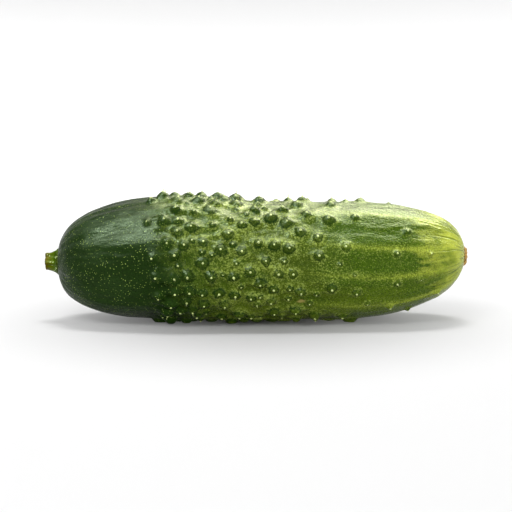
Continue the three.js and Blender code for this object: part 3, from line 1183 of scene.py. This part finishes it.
@dataclass
class Skin:
    """The fruit's skin: the turned outline with its ribs, folds and warts."""

    form: FruitForm
    blemishes: tuple[Blemish, ...] = (
        Blemish(75.8, 325, 2.4, 1.1),
        Blemish(58.0, 118, 1.6, 0.9),
        Blemish(94.0, 214, 2.0, 0.8),
    )
    steps_round: int = 288
    wedges: int = 12
    row_steps: tuple[float, ...] = (1.0, 1.0, 0.335, 0.335, 0.7, 0.7)
    row_step_places: tuple[float, ...] = (0.0, 24.0, 27.0, 114.0, 118.0, 160.0)
    stripe_half_width: float = 9.5
    ridge_half_width: float = 13.0
    ridge_wander: Pattern = Pattern(18, pace=2, seed=61, depth=16)
    stripe_turn: float = 11.0
    stripe_turning: Span = (-110.0, -55.0)
    ripening_lag: Span = (0.1, 0.045)
    early_side: Span = (-0.7, 0.8)
    # how far round from below the underside is painted lighter
    painted_underside_span: Span = (0.0, 0.8)

    def build(self, finish: Material) -> Piece:
        """Build the skin.

        Args:
            finish: The skin's material.

        Returns:
            The piece, in place.
        """
        outline = self.form.outline
        walks = self._rows()
        profile = [(float(outline.x_at(walk)), float(outline.radius_at(walk))) for walk in walks]
        mesh = turned_mesh("fruit_skin", profile, self.steps_round, self.wedges)
        plain = coordinates_of(mesh)
        x, _, bearing = polar(plain)
        walked = np.interp(x, [station for station, _ in profile], walks)
        relief = self.form.fields(walked, bearing)
        move_vertices(mesh, self.form.lifted(walked, bearing, relief.lift))

        x = outline.x_at(walked)
        share = x / outline.length
        up = np.sin(bearing)
        lag = mixed(*self.ripening_lag, share) * (1 - smooth_share(up, *self.early_side))
        turned = bearing - math.radians(self.stripe_turn) * smooth_share(-x, *self.stripe_turning)
        wander = math.radians(self.ridge_wander.depth) * soft_noise(plain, self.ridge_wander)
        values = {
            "along": share,
            "ripeness": share - lag,
            # where the underside is painted lighter
            "painted_underside": smooth_share(-up, *self.painted_underside_span),
            "crest": self.form.ribs.crest(turned, self.stripe_half_width),
            "ridge": self.form.ribs.crest(turned + wander, self.ridge_half_width),
            "wart_off": relief.wart_off,
            "fold": relief.fold,
            "hollow": relief.hollow,
            "streak": relief.streak,
            "blemish": self._blemishes(x, bearing),
        }
        store_values(mesh, values)
        return piece_of("fruit_skin", mesh, finish)

    def _blemishes(self, x: np.ndarray, bearing: np.ndarray) -> np.ndarray:
        """Return where the healed scratches are.

        Args:
            x: Places along the fruit.
            bearing: Bearings in radians.

        Returns:
            1 at the middle of one, falling to 0 at its edge.
        """
        total = np.zeros_like(x)
        for spot in self.blemishes:
            round_it = wrapped(bearing - math.radians(spot.bearing)) * self.form.outline.stem_side_radius
            off = np.hypot((x - spot.x) / spot.length, round_it / spot.width)
            total = np.maximum(total, 1 - clamp_share(off))
        return total

    def _rows(self) -> np.ndarray:
        """Work out where the mesh's rings lie.

        Returns:
            Their walked lengths, close together where there are warts.
        """
        length = self.form.outline.walk_length
        rows = [0.0]
        while rows[-1] < length:
            rows.append(rows[-1] + float(np.interp(rows[-1], self.row_step_places, self.row_steps)))
        return np.array(rows) * length / rows[-1]


# ---- Spine stubs ----


@dataclass(frozen=True)
class SpineFinish:
    """Dry cream-coloured stub of a spine."""

    light: Colour = (0.44, 0.52, 0.18)
    shade: Colour = (0.34, 0.39, 0.12)
    patches: Pattern = Pattern(1.2, seed=2, edges=(0.45, 0.7))
    roughness: float = 0.55

    def build(self) -> Material:
        """Return the material."""
        shader = Shader("spine_stub")
        return shader.finished(
            shader.blend(self.light, self.shade, shader.marks(self.patches)), self.roughness
        )


@dataclass
class Spines:
    """The stubs of the spines, one on each wart, some with a thin spine left on."""

    form: FruitForm
    stub_radius: float = 0.38
    stub_rise: float = 0.26
    sunk: float = 0.25
    sides: int = 8
    rings: int = 6
    full_wart: float = 1.7
    sizes: Span = (0.75, 1.05)
    spine_share: float = 0.4
    spine_radius: float = 0.16
    spine_end: float = 0.2
    spine_length: float = 1.5
    spine_sides: int = 6
    leaning: Span = (-0.3, 0.3)
    seed: int = 77

    def build(self, finish: Material) -> Piece:
        """Build all the stubs as one piece.

        Args:
            finish: The stubs' material.

        Returns:
            The piece, in place. No stub is so low that it would touch the floor.
        """
        draw = number_stream(self.seed)
        stub, spine = self._stub_mesh(), self._spine_mesh()
        warts = [wart for wart in self.form.warts if wart.has_spine]
        walked = np.array([wart.walked for wart in warts])
        bearing = np.array([wart.bearing for wart in warts])
        place = self.form.outline.place_at(walked)
        across, up = -place.out_radius * np.cos(bearing), place.out_radius * np.sin(bearing)
        tops = self.form.lifted(walked, bearing, self.form.fields(walked, bearing).lift)
        shape = bmesh.new()
        for wart, top, way in zip(warts, tops, zip(place.out_x, across, up)):
            size = mixed(*self.sizes, next(draw)) * min(1.0, wart.radius / self.full_wart)
            has_spine = next(draw) < self.spine_share
            lean = Vector([mixed(*self.leaning, next(draw)) for _ in range(3)])
            out = Vector(way)
            if top[2] >= 2 * self.stub_radius * MM:
                self._stand(shape, stub, top, out, size)
                if has_spine and top[2] > 2 * self.spine_length * MM:
                    self._stand(shape, spine, top, (out + lean).normalized(), size)
        return piece_of("spine_stubs", finished_mesh(bpy.data.meshes.new("spine_stubs"), shape), finish)

    def _stub_mesh(self) -> Mesh:
        """Make one stub.

        Returns:
            A flat bead round the Z axis, in metres.
        """
        shape = bmesh.new()
        bmesh.ops.create_uvsphere(
            shape, u_segments=self.sides, v_segments=self.rings, radius=self.stub_radius * MM
        )
        flatness = (self.stub_rise + self.sunk) / 2 / self.stub_radius
        bmesh.ops.scale(shape, verts=shape.verts, vec=(1, 1, flatness))
        bmesh.ops.translate(shape, verts=shape.verts, vec=(0, 0, (self.stub_rise - self.sunk) / 2 * MM))
        return finished_mesh(bpy.data.meshes.new("stub"), shape)

    def _spine_mesh(self) -> Mesh:
        """Make one thin spine.

        Returns:
            A cone along the Z axis, in metres.
        """
        shape = bmesh.new()
        bmesh.ops.create_cone(
            shape,
            cap_ends=True,
            segments=self.spine_sides,
            radius1=self.spine_radius * MM,
            radius2=self.spine_end * self.spine_radius * MM,
            depth=self.spine_length * MM,
        )
        bmesh.ops.translate(shape, verts=shape.verts, vec=(0, 0, self.spine_length / 2 * MM))
        return finished_mesh(bpy.data.meshes.new("spine"), shape)

    @staticmethod
    def _stand(shape: Shape, part: Mesh, top: np.ndarray, out: Vector, size: float) -> None:
        """Add a copy of a part to the shape.

        Args:
            shape: The shape that grows.
            part: The part, along the Z axis.
            top: Where it stands.
            out: Which way it points.
            size: How many times its size it gets.
        """
        copy = part.copy()
        turn = out.to_track_quat("Z", "Y").to_matrix().to_4x4()
        copy.transform(Matrix.Translation(Vector(top)) @ turn @ Matrix.Scale(size, 4))
        shape.from_mesh(copy)
        bpy.data.meshes.remove(copy)


# ---- Stem stub ----


@dataclass(frozen=True)
class StemFinish:
    """Green ribbed stem with a drier, brownish cut."""

    # painted shade: the stem is coloured dark at its foot, where it meets the fruit
    base: Colour = (0.024, 0.042, 0.001)
    neck: Colour = (0.044, 0.088, 0.0)
    middle: Colour = (0.070, 0.090, 0.0)
    end: Colour = (0.080, 0.058, 0.0)
    face: Coat = Coat((0.09, 0.085, 0.002), 1.0)
    groove: Coat = Coat((0.024, 0.042, 0.001), 0.7)
    # painted highlights: the stem's small beads are coloured near white, like glints on them
    bead: Coat = Coat((0.72, 0.88, 0.40), 0.8)
    patches: Pattern = Pattern(1.3, 3, 0.6, 1, depth=0.7)
    face_edges: Span = (0.35, 0.6)
    fibres: Pattern = Pattern(0.35, 3, 0.2, 6)
    groove_edges: Span = (0.5, 0.64)
    beads_and_highlights: Pattern = Pattern(1.05, pace=0.7, seed=9, edges=(0.3, 0.16))
    bead_edges: Span = (0.42, 0.5)
    bead_end: Span = (0.95, 0.75)
    patch_height: float = 1.5
    bead_height: float = 0.6
    bump: float = 0.2
    roughness: float = 0.4
    specular: float = 0.09
    sheen: Colour = (0.8, 1.0, 0.2)

    def build(self) -> Material:
        """Build the finish.

        Returns:
            The stem's material.
        """
        shader = Shader("stem_green")
        outward = shader.attribute("outward")
        patches = shader.grain(self.patches)
        fibres = shader.grain(self.fibres)
        beads_and_highlights = shader.dots(self.beads_and_highlights) * patches.step(*self.bead_edges)
        # the ramp starts dark at the fruit: painted shade at the stem's foot
        colour = shader.ramp(
            outward + shader.sway(self.patches),
            [(0.0, self.base), (0.25, self.neck), (0.6, self.middle), (0.9, self.end)],
        )
        layers = [
            (self.face, shader.attribute("cut") * patches.step(*self.face_edges)),
            (self.groove, fibres.step(*self.groove_edges)),
            # painted highlights on the beads, which also stand out as small bumps
            (self.bead, beads_and_highlights * outward.step(*self.bead_end)),
        ]
        shader.relief(fibres + patches * self.patch_height + beads_and_highlights * self.bead_height, self.bump)
        return shader.finished(shader.layered(colour, layers), self.roughness, self.specular, self.sheen)


@dataclass
class Stem:
    """The stem stub: a ribbed neck that flares against the fruit and ends in a clean cut."""

    form: FruitForm
    base_radius: float = 4.1
    neck_radius: float = 2.55
    flare_start: float = 0.1
    flare_length: float = 0.85
    outside_length: float = 3.9
    sunk: float = 0.7
    heart_radius: float = 2.0
    collar: float = 0.3
    ribs: int = 5
    rib_height: float = 0.28
    fine_rib: float = 0.3
    fine_rib_turn: float = 1.0
    rib_radii: Span = (1.0, 2.4)
    roughening: Pattern = Pattern(1.1, pace=0.5, seed=9, depth=0.34)
    cut_roughening: Pattern = Pattern(0.7, seed=3, depth=0.12)
    cut_reach: Span = (0.35, 0.1)
    cut_radii: Span = (2.35, 2.0)
    cut_hollow: float = 0.25
    cut_rings: tuple[float, ...] = (0.85, 0.7, 0.55, 0.4, 0.25, 0.1, 0.0)
    edge: float = 0.18
    rounding: Span = (0.05, 0.06)
    sides: int = 120
    rows: int = 40

    def build(self, finish: Material) -> Piece:
        """Build the stub, turned from its outline and ribbed by a formula.

        Args:
            finish: The stem's material.

        Returns:
            The piece, in place.
        """
        mesh = turned_mesh("stem_piece", self._profile(), self.sides)
        plain = coordinates_of(mesh)
        x, radius, bearing = polar(plain)
        turns = self.ribs * bearing
        wave = self.rib_height * (np.cos(turns) + self.fine_rib * np.cos(2 * turns + self.fine_rib_turn))
        rough = self.roughening.depth * soft_noise(plain, self.roughening)
        radius = radius + smooth_share(radius, *self.rib_radii) * (wave + rough)
        starts, ends = (self.outside_length - reach for reach in self.cut_reach)
        at_cut = smooth_share(-x, starts, ends)
        x = x + at_cut * self.cut_roughening.depth * soft_noise(plain, self.cut_roughening)
        low = float(self.form.outline.axis_height(0.0))
        move_vertices(mesh, self.form.to_frame(x, radius, bearing, low))
        outer, inner = self.cut_radii
        values = {
            "cut": at_cut * smooth_share(-radius, -outer, -inner),
            "outward": clamp_share(-x / self.outside_length),
        }
        store_values(mesh, values)
        return piece_of("stem_piece", mesh, finish)

    def _profile(self) -> list[tuple[float, float]]:
        """Draw the stub's outline.

        Returns:
            Points [x, radius] from inside the fruit to the middle of the cut.
        """
        cut = -self.outside_length
        side_x = np.linspace(-self.flare_start, self.edge + cut, self.rows)
        flare = np.exp((side_x + self.flare_start) / self.flare_length)
        side_radius = mixed(self.neck_radius, self.base_radius, flare)
        last = float(side_radius[-1])
        back, drop = self.rounding
        points = [(self.sunk, 0.0), (self.sunk, self.heart_radius)]
        points += [(self.sunk, self.base_radius), (self.collar, self.base_radius)]
        points += zip(side_x.tolist(), side_radius.tolist())
        points += [(cut + back, last - drop), (cut, last - self.edge)]
        points += [
            (cut + self.cut_hollow * (1 - share * share), last * share) for share in self.cut_rings
        ]
        return points


# ---- Flower scar ----


@dataclass(frozen=True)
class ScarFinish:
    """Dry brown cork."""

    light: Colour = (0.50, 0.31, 0.09)
    dark: Colour = (0.10, 0.045, 0.008)
    coarse: Pattern = Pattern(0.8, 4, seed=8, depth=0.6)
    fine: Pattern = Pattern(0.25, 3, seed=15, depth=0.4)
    dark_edges: Span = (0.42, 0.62)
    fine_height: float = 0.6
    bump: float = 0.45
    roughness: float = 0.85
    specular: float = 0.15

    def build(self) -> Material:
        """Build the finish.

        Returns:
            The scar's material.
        """
        shader = Shader("scar_cork")
        coarse, fine = shader.grain(self.coarse), shader.grain(self.fine)
        shader.relief(coarse + fine * self.fine_height, self.bump)
        dark = (coarse * self.coarse.depth + fine * self.fine.depth).step(*self.dark_edges)
        return shader.finished(shader.blend(self.light, self.dark, dark), self.roughness, self.specular)


@dataclass
class Scar:
    """The flower scar: a thin corky disc with a ragged edge and a hollow in its face.

    Each row of teeth is how many go round, how far they are turned and how high they are.
    """

    form: FruitForm
    radius: float = 3.1
    outside_length: float = 1.2
    sunk: float = 0.5
    taper: float = 0.1
    heart_radius: float = 1.5
    hollow: float = 0.3
    hollow_power: float = 1.5
    rim_share: float = 0.45
    rounding: Span = (15, 90)
    rounding_rings: int = 6
    face_rings: int = 12
    lip: float = 0.1
    drop: float = 0.5
    raggedness: float = 0.2
    teeth: tuple[tuple[int, float, float], ...] = ((7, 0, 0.6), (11, 1, 0.4))
    tooth_radii: Span = (1.0, 2.6)
    crumb: Pattern = Pattern(0.5, seed=6, depth=0.3)
    face_crumb: Pattern = Pattern(0.9, seed=12, depth=0.4)
    face_from: Span = (0.2, 0.5)
    sides: int = 144

    def build(self, finish: Material) -> Piece:
        """Build the scar, turned from its outline and roughened by a formula.

        Args:
            finish: The scar's material.

        Returns:
            The piece, in place.
        """
        mesh = turned_mesh("scar_piece", self._profile(), self.sides)
        plain = coordinates_of(mesh)
        x, radius, bearing = polar(plain)
        wave = sum(height * np.sin(count * bearing + turn) for count, turn, height in self.teeth)
        ragged = self.raggedness * wave + self.crumb.depth * soft_noise(plain, self.crumb)
        radius = radius + smooth_share(radius, *self.tooth_radii) * ragged
        face = smooth_share(x, *self.face_from)
        x = x + face * self.face_crumb.depth * soft_noise(plain, self.face_crumb)
        length = self.form.outline.length
        height = float(self.form.outline.axis_height(length)) - self.drop
        move_vertices(mesh, self.form.to_frame(length + x, radius, bearing, height))
        return piece_of("scar_piece", mesh, finish)

    def _profile(self) -> list[tuple[float, float]]:
        """Draw the scar's outline.

        Returns:
            Points [x, radius] from the middle of the face to inside the fruit.
        """
        rim = self.rim_share * self.radius
        shares = np.linspace(0.0, 1.0, self.face_rings).tolist()
        turns = np.radians(np.linspace(*self.rounding, self.rounding_rings)).tolist()
        reach = self.outside_length - self.lip
        points = [
            (self.outside_length - self.hollow * (1 - share**2) ** self.hollow_power, rim * share)
            for share in shares
        ]
        points += [
            (self.lip + reach * math.cos(turn), rim + (self.radius - rim) * math.sin(turn))
            for turn in turns
        ]
        points += [(0.0, self.radius), (-self.sunk, self.radius - self.taper)]
        points += [(-self.sunk, self.heart_radius), (-self.sunk, 0.0)]
        return points


# ---- Studio ----


class LampRole(Enum):
    """What each soft lamp does."""

    OVERHEAD = "overhead"
    BEHIND = "behind"
    STEM_SIDE = "stem_side"
    FLOWER_SIDE = "flower_side"
    FILL = "fill"
    FRONT = "front"
    BACKDROP = "backdrop"


class Reach(Enum):
    """What a lamp adds to a surface: its sheen, its plain light or both."""

    SHEEN = "sheen"
    LIGHT = "light"
    BOTH = "both"


@dataclass(frozen=True)
class Lamp:
    """A soft oval lamp; sizes in metres, glow as the radiance that a reflection shows."""

    role: LampRole
    place: Point
    aim: Point
    size: Span
    glow: float
    reach: Reach = Reach.BOTH
    colour: Colour = WHITE
    spread: float = 180.0

    def build(self) -> None:
        """Put the lamp in place."""
        data = bpy.data.lights.new(f"lamp_{self.role.value}", "AREA")
        data.shape = "ELLIPSE"
        data.size, data.size_y = self.size
        data.spread = math.radians(self.spread)
        data.color = self.colour
        area = math.pi / 4 * self.size[0] * self.size[1]
        data.energy = self.glow * math.pi * area
        lamp = bpy.data.objects.new(data.name, data)
        lamp.visible_camera = False
        lamp.visible_diffuse = self.reach is not Reach.SHEEN
        lamp.visible_glossy = self.reach is not Reach.LIGHT
        direction = Vector(self.aim) - Vector(self.place)
        lamp.location = self.place
        lamp.rotation_euler = direction.to_track_quat("-Z", "Y").to_euler()
        bpy.context.scene.collection.objects.link(lamp)


@dataclass
class Studio:
    """A pale seamless sweep, soft lamps and the camera.

    The sweep, the lens and the sensor are in millimetres, places and the frame's width in metres and
    the elevation in degrees.
    """

    frame_width: float = 0.1606
    lens: float = 100.0
    sensor: float = 36.0
    clip_end: float = 50.0
    elevation: float = 8.0
    aim: Point = (0.0, 0.0, 0.0203)
    floor_rings: tuple[float, ...] = (0, 500, 1500)
    floor_radius: float = 2000
    bend: float = 1000
    bend_steps: int = 12
    wall_height: float = 3000
    sweep_sides: int = 72
    floor_colour: Colour = (0.33, 0.33, 0.33)
    floor_roughness: float = 0.9
    # painted light: the floor glows by emission, which fades to none near the fruit
    floor_glow: float = 0.47
    glowing: Span = (0, 100)
    world_strength: float = 0.28
    lamp_aim: Point = (0.0, 0.0, 0.02)
    warm: Colour = (1.0, 1.0, 0.66)
    cool: Colour = (0.94, 1.0, 0.98)

    def build(self) -> None:
        """Build the floor, the lamps, the sky and the camera."""
        bpy.context.scene.view_settings.view_transform = "Standard"
        self._floor()
        self._sky()
        for lamp in self._lamps():
            lamp.build()
        self._camera()

    def _lamps(self) -> list[Lamp]:
        """List the lamps.

        Returns:
            The lamps, each aimed at the fruit, along it or at the backdrop.
        """
        role, aim, sheen, light = LampRole, self.lamp_aim, Reach.SHEEN, Reach.LIGHT
        strip, back, down = (0.2, 0.0, 0.0), (0.1, 0.0, 0.0), (0.0, 1.3, 0.0)
        return [
            Lamp(role.OVERHEAD, (0.2, 0.05, 0.55), strip, (0.6, 0.09), 34.0, sheen, self.warm),
            Lamp(role.BEHIND, (0.19, 0.27, 0.45), back, (0.48, 0.42), 25.0, sheen, self.warm),
            Lamp(role.STEM_SIDE, (-0.264, -0.222, 0.55), aim, (0.26, 0.22), 97.0, sheen, self.cool),
            Lamp(role.FLOWER_SIDE, (0.56, -0.325, 0.18), aim, (0.45, 0.3), 3.0),
            Lamp(role.FILL, (-0.22, -0.42, 0.5), aim, (0.4, 0.3), 8.0, light),
            Lamp(role.FRONT, (0.05, -0.6, 0.05), aim, (0.9, 0.11), 8.0, light),
            Lamp(role.BACKDROP, (0.0, 1.3, 2.9), down, (4.6, 2.0), 3.6, spread=40.0),
        ]

    def _floor(self) -> None:
        """Build the sweep: a round floor that bends up into a wall far away on every side."""
        outline = [(0.0, radius) for radius in self.floor_rings]
        outline += [
            (self.bend * (1 - math.cos(turn)), self.floor_radius + self.bend * math.sin(turn))
            for turn in np.linspace(0.0, math.pi / 2, self.bend_steps).tolist()
        ]
        outline += [(self.wall_height, self.floor_radius + self.bend)]
        mesh = turned_mesh("studio_sweep", outline, self.sweep_sides)
        move_vertices(mesh, coordinates_of(mesh)[:, [1, 2, 0]] * MM)
        shader = Shader("glowing_sweep_paper")
        # painted light: the sweep glows so it stays pale far from the lamps, with no glow near the fruit
        places = {0: shader.places(Pattern(1))}
        reach = shader.node("ShaderNodeVectorMath", {"operation": "LENGTH"}, places).outputs["Value"]
        glow = shader.blend(BLACK, WHITE, Value(shader, reach).step(*self.glowing))
        shader.feed(shader.surface.inputs["Emission Color"], glow)
        shader.surface.inputs["Emission Strength"].default_value = self.floor_glow
        paper = shader.finished(self.floor_colour, self.floor_roughness, 0.0)
        paper.cycles.emission_sampling = "NONE"
        piece_of("studio_sweep", mesh, paper)

    def _sky(self) -> None:
        """Give the world an even pale light."""
        world = bpy.data.worlds.new("studio_sky")
        world.use_nodes = True
        background = world.node_tree.nodes["Background"]
        background.inputs["Color"].default_value = (*WHITE, 1.0)
        background.inputs["Strength"].default_value = self.world_strength
        bpy.context.scene.world = world

    def _camera(self) -> None:
        """Place the camera so that the frame is as wide as asked at the cucumber."""
        data = bpy.data.cameras.new("studio_camera")
        data.lens = self.lens
        data.sensor_width = self.sensor
        data.clip_end = self.clip_end
        camera = bpy.data.objects.new("studio_camera", data)
        distance = self.frame_width * self.lens / self.sensor
        angle = math.radians(self.elevation)
        back = Vector((0, -math.cos(angle), math.sin(angle)))
        camera.location = Vector(self.aim) + back * distance
        camera.rotation_euler = (-back).to_track_quat("-Z", "Y").to_euler()
        bpy.context.scene.collection.objects.link(camera)
        bpy.context.scene.camera = camera


# ---- Everything together ----


def main() -> None:
    """Load the frame, build each piece round it and report what was built."""
    logging.basicConfig(level=logging.INFO, format="%(message)s")
    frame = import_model()

    stem_low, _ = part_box("stem_stub")
    stem_points = coordinates_of(frame["nodes"]["stem_stub"].data)
    start_x = stem_low.x / MM + Stem.outside_length
    form = FruitForm(start_x, float(stem_points[:, 1].mean()) / MM)
    LOG.info("%d warts, axis at y %.3f mm", len(form.warts), form.centre_y)

    dressed = [
        (Skin(form).build(SkinFinish().build()), "fruit", "skin"),
        (Stem(form).build(StemFinish().build()), "stem_stub", "stem"),
        (Scar(form).build(ScarFinish().build()), "flower_scar", "scar"),
    ]
    for piece, node, slot in dressed:
        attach(piece, "root")
        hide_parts(node)
        LOG.info("%s stands for %s, %d faces", piece.name, node, len(piece.data.polygons))
    spines = Spines(form).build(SpineFinish().build())
    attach(spines, "root")
    LOG.info("%s, %d faces", spines.name, len(spines.data.polygons))

    Studio().build()
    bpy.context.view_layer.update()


if __name__ == "__main__":
    main()
